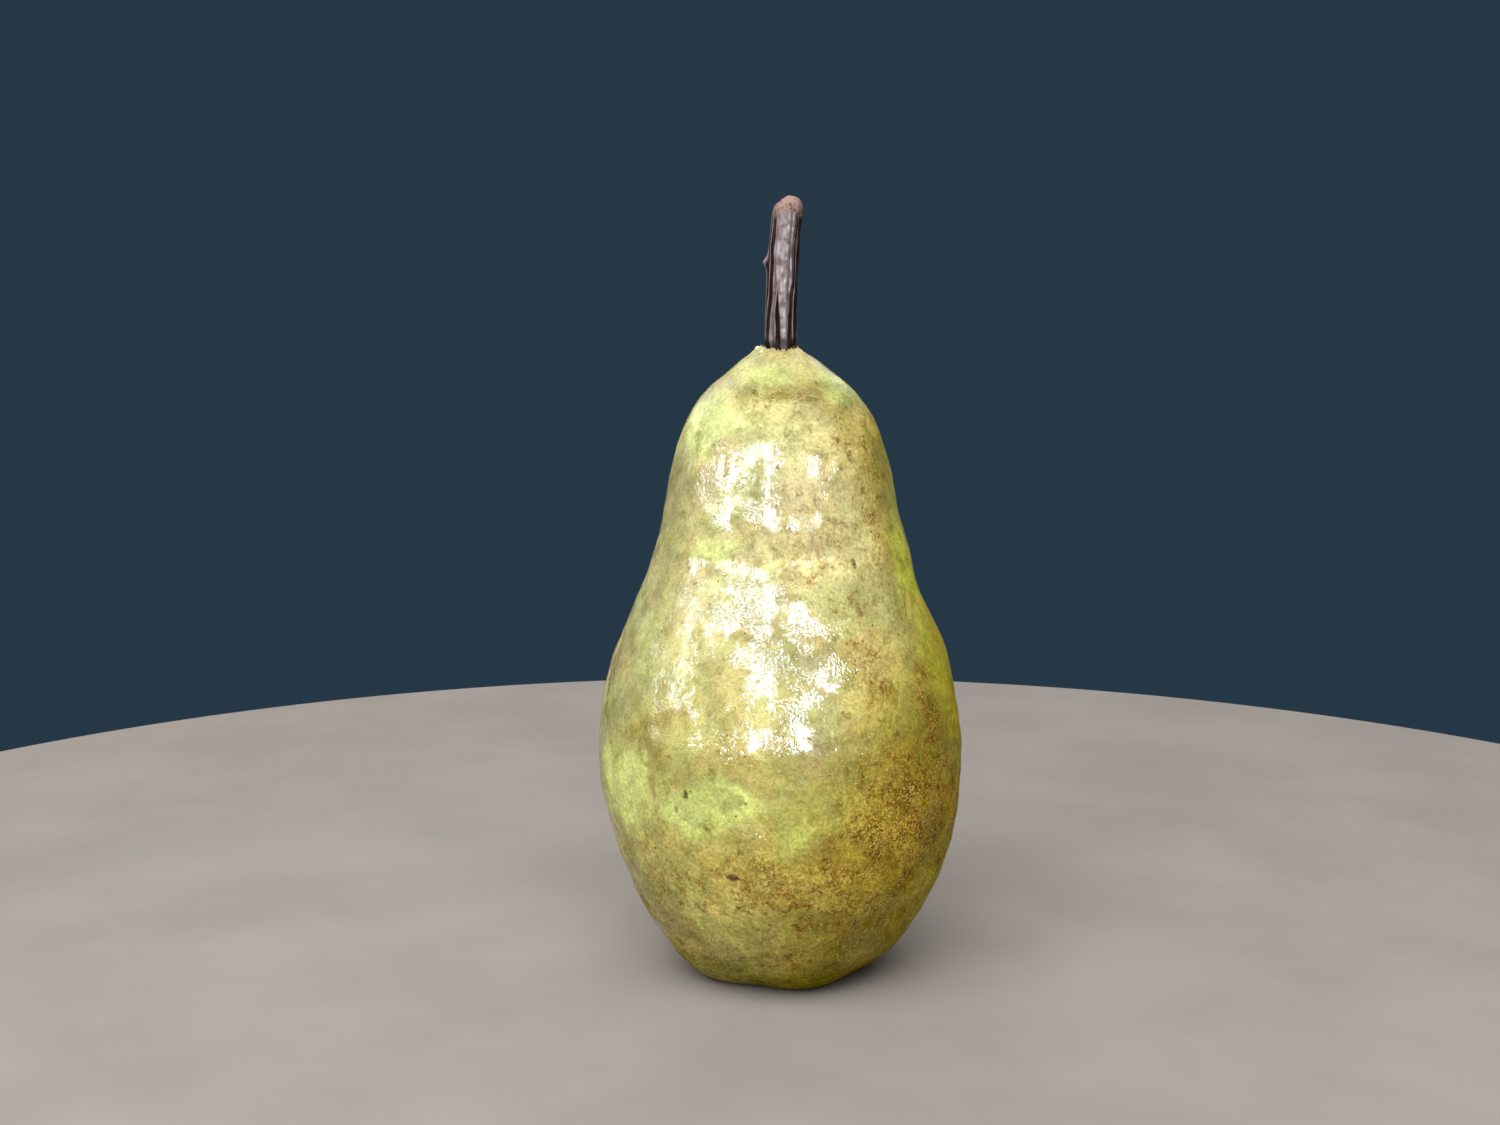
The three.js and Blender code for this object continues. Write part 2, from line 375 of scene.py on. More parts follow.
def shape_lip(skin):
    """Draws the lip in round the stalk and raises its inner edge in a thin ragged collar.
    The result is 1 on the collar and 0 away from it."""
    points = skin.points
    away = points[:, :2] - np.array(STALK_AXIS)[:2]
    reach = np.hypot(away[:, 0], away[:, 1])
    angle = np.degrees(np.arctan2(away[:, 1], away[:, 0]))
    top = ramp(points[:, 2], FRUIT_HEIGHT - 3.5 * MM, FRUIT_HEIGHT - 1.2 * MM)
    near = top * (1 - ramp(reach, 4 * MM, 8 * MM))
    pull = (LIP_PULL_MM + LIP_PULL_RIGHT_MM * bell(turn(angle, LIP_RIGHT) / 70)) * MM * near
    collar = top * (1 - ramp(reach - pull, 3.1 * MM, 3.6 * MM))
    pull += collar * np.maximum(reach - pull - COLLAR_RADIUS, 0)
    points[:, :2] -= away * (pull / np.maximum(reach, MM))[:, None]
    ragged = 0.55 + 1.5 * waves(points, 0.55 * MM, 13)
    points[:, 2] += collar * COLLAR_RISE * np.clip(ragged, 0.1, 1.0)
    points[:, 2] -= LIP_DIP_MM * MM * near * bell(turn(angle, LIP_LEFT) / 30)
    return collar


def neck_lift(skin):
    """The rise of the low ridges that run down the neck."""
    height = skin.height
    neck = ramp(height, 62 * MM, 80 * MM) * (1 - ramp(height, 96 * MM, 104 * MM))
    wander = NECK_WANDER * waves(skin.points, 26 * MM, 11)
    lift = np.zeros(len(height))
    for angle, width, rise in NECK_RIDGES:
        lift += neck * rise * MM * bell(turn(skin.angle + wander, angle) / width)
    return lift


def shape_fruit(piece):
    """Gives the skin its lip, waves, ridges, folds and beads, within the box of the CAD solid.
    The results are the skin, and how much of each point is collar and bead."""
    skin = Surface(piece, FRUIT_AXIS)
    collar = shape_lip(skin)
    height = skin.height
    lift = np.zeros(len(height))
    for seed, (size, rise) in enumerate(SKIN_WAVES_MM):
        lift += rise * MM * waves(skin.points, size * MM, seed + 1)
    lift += neck_lift(skin)
    for angle, at, wide, tall, rise in FOLDS:
        lift += rise * MM * skin.spot(angle, at * MM, wide * MM, tall * MM)
    clear_of_lip = ramp(skin.radius, 3.6 * MM, 7 * MM)
    clear_of_foot = ramp(height, 1.5 * MM, 6 * MM)
    lift *= clear_of_lip * clear_of_foot

    beads = np.zeros(len(height))
    for place, reach, rise in LIP_BEADS:
        bead = near_place(skin.points, place, reach)
        beads = np.maximum(beads, bead)
        lift += rise * MM * bead

    skin.raise_by(lift)
    skin.points = fit_to_box(skin.points, FRUIT_LOW, FRUIT_HIGH)
    pressed = skin.points[:, 2] - FOOT_PRESS * (1 - ramp(height, 0, 3 * MM))
    skin.points[:, 2] = np.maximum(pressed, 0)
    skin.apply()
    return skin, collar, beads


# ---------------------------------------------------------------- the fruit's colours

# Patches on the skin: (angle, height, reach round, reach up, strength). Each list is a kind of patch; some
# pale ones are partly painted highlight and some olive ones partly painted shade in creases.
LIME = [
    (216, 37.5, 5.5, 8.0, 1.0),
    (203, 38.0, 5.0, 7.0, 0.9),
    (239, 34.5, 4.5, 4.5, 1.0),
    (253, 38.0, 7.0, 4.5, 0.8),
    (277, 33.5, 5.0, 3.5, 0.5),
    (248, 15.0, 10.0, 4.5, 0.4),
    (340, 74.0, 6.0, 7.0, 0.6),
    (333, 61.0, 4.0, 8.0, 0.35),
    (217, 98.0, 7.0, 6.0, 0.8),
    (267, 107.0, 9.0, 3.0, 0.5),
    (330, 104.5, 6.0, 3.0, 0.5),
    (212, 60.0, 5.0, 9.0, 0.4),
    (255, 60.0, 8.0, 6.0, 0.25),
    (238, 78.0, 5.0, 3.0, 0.6),
    (40, 96.0, 9.0, 6.0, 0.8),
    (120, 90.0, 8.0, 8.0, 0.7),
    (75, 52.0, 9.0, 9.0, 0.9),
    (130, 40.0, 9.0, 7.0, 0.8),
    (20, 38.0, 6.0, 7.0, 0.7),
    (165, 70.0, 7.0, 8.0, 0.8),
    (98, 30.0, 7.0, 5.0, 0.6),
]
# Dark olive patches. Those along the crease of the dome and in the fold at the lower left are partly painted
# shade in those creases.
OLIVE = [
    (265, 44.3, 9.0, 2.2, 0.4),
    (285, 43.5, 6.0, 2.2, 0.45),
    (229, 44.0, 5.0, 3.5, 0.6),
    (280, 105.0, 4.5, 1.3, 0.9),
    (264, 103.8, 2.5, 1.4, 0.8),
    (298, 104.0, 3.0, 1.3, 0.9),
    (334, 90.0, 4.5, 12.0, 0.4),
    (246, 104.0, 2.5, 1.5, 0.7),
    (203, 85.0, 5.0, 9.0, 0.8),
    (212, 74.0, 5.0, 8.0, 0.25),
    (205, 55.0, 6.0, 11.0, 0.5),
    (218, 54.0, 5.0, 6.0, 0.6),
    (214, 64.0, 7.0, 10.0, 0.55),
    (222, 47.0, 5.0, 3.5, 0.9),
    (217, 14.5, 3.5, 1.6, 0.6),
    (225, 10.2, 4.0, 1.6, 0.7),
    (238, 6.6, 4.0, 1.4, 0.6),
    (258, 62.0, 14.0, 10.0, 0.25),
    (306, 12.0, 14.0, 5.0, 0.8),
    (200, 14.0, 10.0, 5.0, 0.5),
    (318, 44.0, 7.0, 5.0, 0.6),
    (60, 70.0, 9.0, 5.0, 0.7),
    (110, 56.0, 9.0, 3.0, 0.7),
    (150, 20.0, 12.0, 4.0, 0.7),
    (10, 20.0, 12.0, 4.0, 0.7),
    (80, 88.0, 8.0, 4.0, 0.6),
]
RUSSET = [
    (310, 33.0, 14.0, 12.0, 1.0),
    (324, 52.0, 4.0, 8.0, 0.8),
    (298, 22.0, 13.0, 9.0, 0.8),
    (268, 24.0, 17.0, 6.0, 0.8),
    (300, 60.0, 6.0, 12.0, 0.5),
    (305, 92.0, 7.0, 14.0, 0.15),
    (320, 88.0, 4.0, 16.0, 0.6),
    (316, 98.0, 5.0, 5.0, 0.4),
    (280, 103.0, 6.0, 2.2, 0.8),
    (285, 80.0, 7.0, 8.0, 0.5),
    (275, 27.0, 10.0, 4.0, 0.6),
    (222, 24.0, 12.0, 5.0, 0.5),
    (350, 30.0, 12.0, 14.0, 0.9),
    (40, 28.0, 16.0, 12.0, 0.8),
    (100, 78.0, 9.0, 7.0, 0.5),
    (140, 28.0, 14.0, 8.0, 0.7),
    (85, 40.0, 8.0, 6.0, 0.6),
    (170, 40.0, 8.0, 10.0, 0.6),
]
# Pale patches. Those on the front of the neck and the waist are partly painted highlight.
PALE = [
    (267, 107.0, 12.0, 3.5, 0.8),
    (305, 90.0, 8.0, 10.0, 1.0),
    (281, 86.0, 6.0, 9.0, 0.8),
    (281, 76.5, 5.0, 3.5, 0.9),
    (300, 54.0, 6.0, 6.0, 0.5),
    (312, 82.0, 7.0, 9.0, 0.9),
    (262, 77.0, 9.0, 3.0, 0.9),
    (300, 77.0, 6.0, 4.0, 0.8),
    (238, 103.0, 4.0, 4.0, 0.6),
    (300, 103.0, 5.0, 4.0, 0.3),
    (263, 50.0, 6.0, 4.0, 0.3),
    (236, 68.0, 6.0, 6.0, 0.6),
    (50, 86.0, 7.0, 6.0, 0.8),
    (140, 98.0, 7.0, 5.0, 0.7),
    (90, 66.0, 8.0, 4.0, 0.7),
    (180, 56.0, 6.0, 6.0, 0.5),
    (256, 17.0, 12.0, 6.0, 0.5),
]

# Warm brown darkening, mostly low on the right: partly the skin's russet, partly painted shade of the side
# turned from the key light.
BROWN_AND_SHADE = [
    (314, 36.0, 15.0, 18.0, 0.9),
    (296, 25.0, 4.0, 4.0, 0.9),
    (291, 15.0, 5.0, 4.5, 0.8),
    (279, 8.0, 6.0, 3.0, 0.6),
    (320, 16.0, 9.0, 6.0, 0.5),
    (277, 27.0, 9.0, 5.0, 0.3),
    (286, 30.0, 9.0, 7.0, 0.45),
    (318, 48.0, 6.0, 6.0, 0.3),
    (281, 104.6, 5.5, 1.3, 0.45),
    (314, 98.0, 6.0, 5.5, 0.45),
    (331, 95.0, 5.0, 6.0, 0.5),
    (35, 40.0, 14.0, 14.0, 0.6),
    (130, 24.0, 14.0, 8.0, 0.6),
]

# Where the skin has lost its gloss.
DULL = [
    (256, 79.0, 15.0, 2.2, 1.0),
    (296, 71.5, 7.0, 3.0, 1.0),
    (277, 87.0, 4.0, 4.0, 0.8),
    (308, 82.0, 6.0, 5.0, 0.8),
    (222, 80.0, 5.0, 2.0, 0.8),
    (248, 58.0, 4.0, 5.0, 0.8),
    (290, 54.0, 3.0, 3.0, 0.9),
    (282, 62.0, 3.0, 1.0, 0.45),
    (286, 58.0, 3.0, 1.2, 0.45),
    (278, 56.0, 3.0, 1.0, 0.45),
    (294, 48.9, 6.0, 2.0, 0.9),
    (288, 36.0, 6.0, 4.5, 1.0),
    (232, 76.5, 4.0, 3.0, 0.4),
    (284, 83.0, 4.0, 2.5, 0.35),
    (236, 50.0, 4.0, 2.0, 0.8),
    (262, 43.5, 20.0, 2.4, 0.9),
    (60, 76.0, 12.0, 3.0, 0.8),
    (120, 50.0, 9.0, 4.0, 0.8),
    (20, 60.0, 8.0, 5.0, 0.7),
]

# Small dark marks.
MARKS = [
    (240, 38.7, 0.7, 1.0, 1.0),
    (236.5, 36.0, 0.8, 0.9, 0.7),
    (247, 33.3, 0.8, 0.7, 0.8),
    (254.3, 25.2, 1.3, 0.8, 1.0),
    (250.5, 25.6, 0.8, 0.5, 0.8),
    (303.1, 75.8, 0.5, 1.2, 1.0),
    (277.2, 49.0, 0.5, 0.5, 1.0),
    (216.6, 76.4, 0.35, 0.35, 1.0),
    (247.5, 104.0, 0.7, 0.4, 0.9),
    (290.0, 103.2, 0.6, 0.4, 0.6),
    (280.0, 102.0, 0.5, 0.4, 0.7),
    (324.0, 52.5, 1.0, 3.0, 0.6),
    (62.0, 58.0, 0.9, 1.2, 1.0),
    (118.0, 34.0, 1.4, 0.8, 0.9),
    (95.0, 82.0, 0.6, 0.6, 1.0),
    (150.0, 62.0, 0.5, 0.9, 0.9),
    (28.0, 72.0, 0.7, 0.5, 0.9),
]

PATCH_DRIFT_MM = 3.0  # how far the edge of a patch strays
PATCH_TEETH_MM = 5.0  # how broad the teeth of its edge are
LEAST_RADIUS = 5 * MM  # nearer the axis than this, a patch's edge strays by no more degrees
LOW_RUSSET = 0.42  # the russet that lies all over the lower part

# The right flank, where the skin is warmer and darker, partly painted shade of the side turned from the key
# light: the angle of its middle and its reach round in degrees.
FLANK = (338, 24)
FLANK_BELOW = (316, 32)  # the same near the foot
NECK_PALENESS = 0.45  # how much of the flank's warm tone and painted shade the neck lacks


def strongest(skin, spots, sideways=0.0, drift=0.0):
    """The strength at each point of the strongest of the spots there."""
    total = np.zeros(len(skin.points))
    for angle, height, wide, tall, strength in spots:
        spot = skin.spot(angle, height * MM, wide * MM, tall * MM, sideways, drift)
        total = np.maximum(total, strength * spot)
    return total


def stains_and_painted_light(skin, spots, seed):
    """The strength of a list of patches at each point, with ragged edges. Some are stains, some painted
    shade and some painted highlight.
    """
    drift = PATCH_DRIFT_MM * MM * waves(skin.points, PATCH_TEETH_MM * MM, seed)
    sideways = np.degrees(drift / np.maximum(skin.radius, LEAST_RADIUS))
    return strongest(skin, spots, sideways, drift)


def colour_fruit(skin, collar, beads):
    """Keeps on the mesh where stains, marks, patches of painted shade and highlight, and broad zones lie,
    for the material to read.
    """
    height = skin.height
    lime = stains_and_painted_light(skin, LIME, 21)
    skin.store("lime", lime)
    skin.store("olive", stains_and_painted_light(skin, OLIVE, 22))
    scattered = LOW_RUSSET * (1 - ramp(height, 20 * MM, 42 * MM))
    skin.store("russet", np.maximum(stains_and_painted_light(skin, RUSSET, 23), scattered))
    skin.store("marks", strongest(skin, MARKS))
    skin.store("joint", collar + 0.25 * waves(skin.points, 0.8 * MM, 24))
    skin.store("beads", beads)
    skin.store("pale", stains_and_painted_light(skin, PALE, 25))
    skin.store("dull", stains_and_painted_light(skin, DULL, 26))
    colour_zones(skin, lime)
    # Warm brown darkening, partly painted shade.
    skin.store("brown_and_shade", stains_and_painted_light(skin, BROWN_AND_SHADE, 28))
    basin = (1 - ramp(skin.radius, 8 * MM, 12 * MM)) * (1 - ramp(height, 8 * MM, 12 * MM))
    skin.store("basin", basin)


def colour_zones(skin, lime):
    """Keeps the broad zones: foot and crown, tinted with painted shade, matt right side, and the lower part
    and right flank, warmer and partly painted shade.
    """
    height = skin.height
    drift = 6 * MM * waves(skin.points, 12 * MM, 27)
    wandering = skin.angle + 14 * waves(skin.points, 15 * MM, 29)
    below_crown = 1 - ramp(height, 98 * MM, 108 * MM)

    foot = 1 - ramp(height + 0.2 * drift, 3.5 * MM, 10 * MM)
    # Painted shade at the foot, where it meets the table, strongest to the front right.
    skin.store("foot", foot * (0.3 + 0.7 * bell(turn(skin.angle, 300) / 55)))
    skin.store("matt", np.maximum(foot, bell(turn(wandering, 350) / 36) * below_crown))
    # The top is darkened by a painted shade, and has fewer olive clouds.
    skin.store("crown", ramp(height + 0.4 * drift, 99 * MM, 107 * MM))

    # The lower part, more so on the right, gets a warmer tone with a little painted shade.
    deep = (1 - ramp(height + drift, 28 * MM, 72 * MM)) * (0.55 + 0.45 * bell(turn(skin.angle, 330) / 75))
    skin.store("deep", deep * (1 - 0.6 * lime))

    # The right flank gets a warmer tone that is partly painted shade.
    lower = 1 - ramp(height, 20 * MM, 44 * MM)
    middle, reach = (between(above, below, lower) for above, below in zip(FLANK, FLANK_BELOW))
    flank = bell(turn(wandering, middle) / reach)
    flank *= 1 - NECK_PALENESS * ramp(height + drift, 72 * MM, 86 * MM)
    skin.store("flank", flank * (1 - ramp(height + drift, 98 * MM, 108 * MM)))


SKIN_GREEN = (0.43, 0.425, 0.182)
SKIN_LIME = (0.58, 0.63, 0.235)
SKIN_TAN = (0.47, 0.395, 0.17)
# pale skin, in places partly painted highlight
SKIN_PALE_AND_HIGHLIGHT = (0.72, 0.63, 0.31)
SKIN_OLIVE = (0.20, 0.18, 0.04)
SKIN_RUST = (0.22, 0.105, 0.02)
SKIN_GOLD = (0.64, 0.52, 0.27)
# golden specks, partly painted glints
SKIN_SPECK_AND_GLINT = (0.74, 0.56, 0.14)
SKIN_EARTH = (0.36, 0.285, 0.08)
SKIN_DARK = (0.045, 0.02, 0.006)
SKIN_BEAD = (0.75, 0.58, 0.45)
LOW_WARMTH_AND_SHADE_TINT = (0.98, 0.96, 0.46)  # of the lower part, more to the right: a warmer tone with a little painted shade
FLANK_WARMTH_AND_SHADE_TINT = (0.96, 0.90, 0.24)  # of the right flank: a warmer tone, partly painted shade
# warm brown, partly painted shade
BROWN_AND_SHADE_TINT = (0.72, 0.58, 0.16)
# painted shade at the foot, olive-toned
FOOT_SHADE_TINT = (0.46, 0.48, 0.1)
SMUDGE_TINT = (0.62, 0.49, 0.25)  # of brown clouds in the russet
CROWN_SHADE_TINT = (0.74, 0.75, 0.67)  # painted shade on the top, whose skin is also creased and brownish

LENTICEL_CELL_MM = 1.5
SWELL_DEPTH_MM = 0.10
PEBBLE_DEPTH_MM = 0.034


class SkinNodes(Nodes):
    """The skin's tree, with the noises and the stains that more than one of its layers reads."""

    def __init__(self):
        super().__init__("pear_skin")
        self.lime = self.attribute("lime")
        self.russet = self.attribute("russet")
        self.crown = self.attribute("crown")
        self.dull = self.attribute("dull")
        self.mottle = self.noise(3.2, detail=4, roughness=0.65, warp=0.4)
        self.crust = self.noise(2.0, detail=5, roughness=0.78)
        self.fine = self.noise(0.55, detail=2, roughness=0.6)
        # How densely russet covers the skin. It is thinner in the lime patches.
        cover = self.times(self.russet, self.level(self.mottle, 0.36, 0.64, 0.11, 0.22))
        self.dense = self.plus(cover, self.times(self.lime, -0.16))


def skin_ground(nodes):
    """Green to tan, with pale, earthy, lime and olive patches. Some pale ones are partly painted highlight,
    some olive ones partly painted shade in creases.
    """
    broad = nodes.noise(9, detail=4, roughness=0.62)
    base = nodes.blend(SKIN_GREEN, SKIN_TAN, nodes.level(broad, 0.42, 0.60))
    # Pale patches, partly painted highlight.
    base = nodes.blend(base, SKIN_PALE_AND_HIGHLIGHT, nodes.times(nodes.attribute("pale"), 0.8))
    earth = nodes.times(nodes.russet, nodes.level(nodes.mottle, 0.25, 0.6, 0.9, 0.4))
    base = nodes.blend(base, SKIN_EARTH, earth)
    lime = nodes.plus(nodes.lime, nodes.times(nodes.crust, 0.5))
    base = nodes.blend(base, SKIN_LIME, nodes.level(lime, 0.4, 0.85))
    olive = nodes.times(nodes.attribute("olive"), nodes.level(nodes.mottle, 0.3, 0.5, 0.35, 0.95))
    base = nodes.blend(base, SKIN_OLIVE, olive)
    clouds = nodes.level(nodes.mottle, 0.48, 0.68, 0.0, 0.6)
    below_crown = nodes.level(nodes.crown, 0, 1, 1, 0.35)
    return nodes.blend(base, SKIN_OLIVE, nodes.times(clouds, below_crown))


def skin_russet(nodes, base):
    """A fine crust over the skin, rust brown with golden flakes, that closes up where it is dense."""
    rust = nodes.plus(nodes.crust, nodes.dense)
    base = nodes.blend(base, SKIN_RUST, nodes.level(rust, 0.57, 0.72, 0.0, 0.9))
    flakes = nodes.noise(0.8, detail=3, roughness=0.8, place=nodes.moved((0.031, 0.017, 0.023)))
    gold = nodes.plus(flakes, nodes.dense)
    base = nodes.blend(base, SKIN_GOLD, nodes.level(gold, 0.60, 0.74, 0.0, 0.7))
    contrast = nodes.plus(nodes.times(nodes.russet, 1.2), 1.1)
    grit = nodes.times(nodes.plus(nodes.fine, -0.5), contrast)
    base = nodes.shade(base, nodes.plus(grit, 1.0))
    clouds = nodes.noise(6.5, detail=3, roughness=0.6, warp=0.5)
    return nodes.shade(base, nodes.level(clouds, 0.34, 0.66, 0.82, 1.2))


def skin_zones(nodes, base):
    """Warmer and darker tones over the broad zones, partly painted shade, with brown smudges, and golden
    specks in the russet that are partly painted glints.
    """
    base = nodes.tint(base, LOW_WARMTH_AND_SHADE_TINT, nodes.attribute("deep"))
    base = nodes.tint(base, FLANK_WARMTH_AND_SHADE_TINT, nodes.attribute("flank"))
    base = nodes.tint(base, BROWN_AND_SHADE_TINT, nodes.attribute("brown_and_shade"))
    smudges = nodes.noise(4.5, detail=3, roughness=0.65, place=nodes.moved((0.027, 0.059, 0.011)))
    base = nodes.tint(base, SMUDGE_TINT, nodes.times(nodes.russet, nodes.level(smudges, 0.45, 0.62)))
    # Golden specks, partly painted glints.
    specks_and_glints = nodes.noise(0.34, detail=1, roughness=0.6, place=nodes.moved((0.051, 0.007, 0.019)))
    specks_and_glints = nodes.level(nodes.plus(specks_and_glints, nodes.dense), 0.66, 0.80, 0.0, 0.6)
    base = nodes.blend(base, SKIN_SPECK_AND_GLINT, specks_and_glints)
    # Painted shade at the foot and on the top.
    base = nodes.tint(base, FOOT_SHADE_TINT, nodes.attribute("foot"))
    return nodes.tint(base, CROWN_SHADE_TINT, nodes.crown)


def skin_marks(nodes, base):
    """Lenticels, the dark marks, the brown basin, the joint with the stalk and the beads on the lip."""
    # Lenticels are small dark dots, one in some of the cells.
    random = nodes.cells(LENTICEL_CELL_MM, "Color")
    chosen = nodes.level(nodes.add("ShaderNodeSeparateColor", "Red", {"Color": random}), 0.86, 0.88)
    dot = nodes.level(nodes.cells(LENTICEL_CELL_MM, "Distance"), 0.10, 0.18, 1.0, 0.0)
    base = nodes.blend(base, SKIN_DARK, nodes.times(nodes.times(dot, chosen), 0.7))
    marks = nodes.times(nodes.attribute("marks"), nodes.level(nodes.fine, 0.25, 0.5))
    base = nodes.blend(base, SKIN_DARK, nodes.level(marks, 0.25, 0.7, 0.0, 0.85))
    basin = nodes.times(nodes.attribute("basin"), nodes.level(nodes.mottle, 0.3, 0.5))
    base = nodes.blend(base, SKIN_RUST, basin)
    base = nodes.blend(base, SKIN_DARK, nodes.level(nodes.attribute("joint"), 0.3, 0.75, 0.0, 0.95))
    return nodes.blend(base, SKIN_BEAD, nodes.level(nodes.attribute("beads"), 0.35, 0.6))


def skin_relief(nodes):
    """Soft swells under fine pebbles, which are deeper in patches and where the gloss is dull."""
    patch = nodes.noise(3.8, detail=3, roughness=0.6, place=nodes.moved((0.013, 0.029, 0.037)))
    rugged = nodes.level(nodes.plus(patch, nodes.times(nodes.dull, 0.3)), 0.40, 0.56, 0.7, 2.0)
    pebbles = nodes.noise(0.28, detail=0, roughness=0.5, place=nodes.moved((0.011, 0.043, 0.027)))
    normal = nodes.bump(nodes.noise(2.2, detail=2, roughness=0.5), SWELL_DEPTH_MM)
    return nodes.bump(nodes.times(pebbles, rugged), PEBBLE_DEPTH_MM, normal)


def skin_gloss(nodes):
    """The weight of a wet gloss. Fine noise breaks it into dots, patches of it are worn off, and it is weak
    on the matt side."""
    worn = nodes.plus(nodes.times(nodes.dull, 0.5), nodes.times(nodes.fine, 0.3))
    worn = nodes.plus(worn, nodes.noise(5.5, detail=4, roughness=0.7))
    left = nodes.level(worn, 0.66, 0.78, 1.0, 0.06)
    gloss = nodes.times(left, nodes.level(nodes.fine, 0.36, 0.42, 0.25, 1.0))
    return nodes.times(gloss, nodes.level(nodes.attribute("matt"), 0.1, 1.0, 1.0, 0.1))


def skin_material():
    nodes = SkinNodes()
    base = skin_ground(nodes)
    base = skin_russet(nodes, base)
    base = skin_zones(nodes, base)
    base = skin_marks(nodes, base)
    normal = skin_relief(nodes)
    return nodes.finish(
        Base_Color=base,
        Roughness=0.5,
        Normal=normal,
        IOR=1.5,
        Specular_IOR_Level=0.0,
        Coat_Weight=skin_gloss(nodes),
        Coat_Roughness=0.07,
        Coat_IOR=1.3,
        Coat_Normal=normal,
        Subsurface_Weight=0.08,
        Subsurface_Radius=(0.8 * MM, 0.6 * MM, 0.2 * MM),
        Subsurface_Scale=1.0,
    )


# ---------------------------------------------------------------- the stalk

# Fine grooves and ridges that run up the stalk: (angle, width in degrees, rise in mm).
STALK_STRIPS = [
    (216, 2.6, -0.18),
    (228, 3.0, 0.2),
    (237, 2.8, -0.24),
    (246, 3.0, 0.2),
    (257, 4.0, -0.26),
    (306, 2.6, -0.22),
    (320, 3.0, 0.2),
    (333, 3.2, -0.24),
    (352, 2.6, 0.10),
    (20, 3.0, -0.18),
    (31, 2.4, 0.12),
    (66, 3.0, -0.18),
    (76, 2.6, 0.12),
    (112, 2.8, -0.18),
    (143, 3.0, -0.16),
    (156, 2.6, 0.12),
    (186, 2.6, -0.18),
    (200, 2.6, 0.12),
]

# Smooth worn faces between the grooves, whose pale colour is partly a painted sheen, most of all on the
# front
# face: (angle at the lip, angle at the tip, half width at the lip, half width at the tip, strength).
STALK_FACES = [
    (284, 267, 19, 42, 1.0),
    (236, 238, 13, 9, 0.55),
    (42, 46, 20, 20, 0.9),
    (104, 96, 16, 22, 0.9),
    (166, 172, 22, 20, 0.9),
]
FACE_RISE = 0.12 * MM

STALK_BURR = ((-3.0, -0.6, 125.3), 0.7, 0.55)  # a scar on its left: its place, reach and rise, in mm
STALK_LEAN_MM = (1.6, -0.7)  # how far its tip leans along X and Y
TIP_START, TIP_END = 0.86, 0.93  # where the wood turns to the ragged tip, as shares of the stalk's height


def worn_faces(angle, climb):
    """The strength of the worn face at each point, whose pale colour is partly a painted sheen."""
    face = np.zeros(len(climb))
    widening = ramp(climb, 0.15, 0.65)
    for low, high, low_half, high_half, strength in STALK_FACES:
        half = between(low_half, high_half, widening)
        off = np.abs(turn(angle, between(low, high, widening))) / half
        face = np.maximum(face, strength * (1 - ramp(off, 0.75, 1.1)))
    return face


def shape_stalk(piece):
    """Grooves and worn faces run up the stalk to a ragged tip, with a scar on the way."""
    wood = Surface(piece, STALK_AXIS)
    points = wood.points
    climb = (wood.height - FRUIT_HEIGHT) / (STALK_HIGH.z - FRUIT_HEIGHT)
    lean = np.clip(climb, 0, 1)[:, None] ** 2 * (np.array(STALK_LEAN_MM) * MM)
    away = points[:, :2] - np.array(STALK_AXIS)[:2] - lean
    angle = np.degrees(np.arctan2(away[:, 1], away[:, 0])) + 5 * waves(points, 6 * MM, 31)
    angle += 7 * waves(points * np.array([1, 1, 0.5]), 1.8 * MM, 38)
    edge = climb + 0.07 * waves(points, 2.4 * MM, 36) + 0.03 * waves(points, 0.9 * MM, 39)
    tip = ramp(edge, TIP_START, TIP_END)
    grooved = ramp(climb, -0.04, 0.04) * (1 - tip)

    face = worn_faces(angle, climb)
    strips = np.zeros(len(climb))
    for at, width, rise in STALK_STRIPS:
        strips += grooved * (1 - face) * rise * MM * bell(turn(angle, at) / width)
    lift = strips + FACE_RISE * face * grooved
    lift += 0.14 * MM * waves(points * np.array([1, 1, 0.18]), 0.7 * MM, 32) * grooved * (1 - face)
    lift += 0.08 * MM * waves(points, 3.0 * MM, 33)
    place, reach, rise = STALK_BURR
    lift += rise * MM * near_place(points, place, reach)
    lift += tip * (0.16 * MM * waves(points, 1.1 * MM, 34) + 0.12 * MM * waves(points, 0.45 * MM, 35))

    wood.raise_by(lift)
    wood.points = fit_to_box(wood.points, STALK_LOW, STALK_HIGH)
    wood.apply()
    wood.store("tip", ramp(edge, 0.84, 0.92))  # its colour starts just below its form
    wood.store("foot", 1 - ramp(climb + 0.03 * waves(wood.points, 1.0 * MM, 37), 0.0, 0.06))
    # Painted shade in the grooves and a painted highlight on the ridges.
    wood.store("dip", np.clip(-strips / (0.2 * MM), 0, 1))
    wood.store("crest", np.clip(strips / (0.12 * MM), 0, 1))
    wood.store("face", face * (1 - tip))


WOOD_DARK = (0.014, 0.007, 0.006)
WOOD_BROWN = (0.036, 0.020, 0.015)
# pale wood of the worn faces, partly a painted sheen
WOOD_PALE_AND_SHEEN = (0.25, 0.20, 0.205)
WOOD_FACE_AND_SHEEN = (0.16, 0.12, 0.118)
# painted highlight on the ridges
WOOD_RIDGE_HIGHLIGHT = (0.24, 0.185, 0.17)
TIP_BROWN = (0.29, 0.19, 0.16)
STREAK_DEPTH_MM = 0.02
GRAIN_DEPTH_MM = 0.015


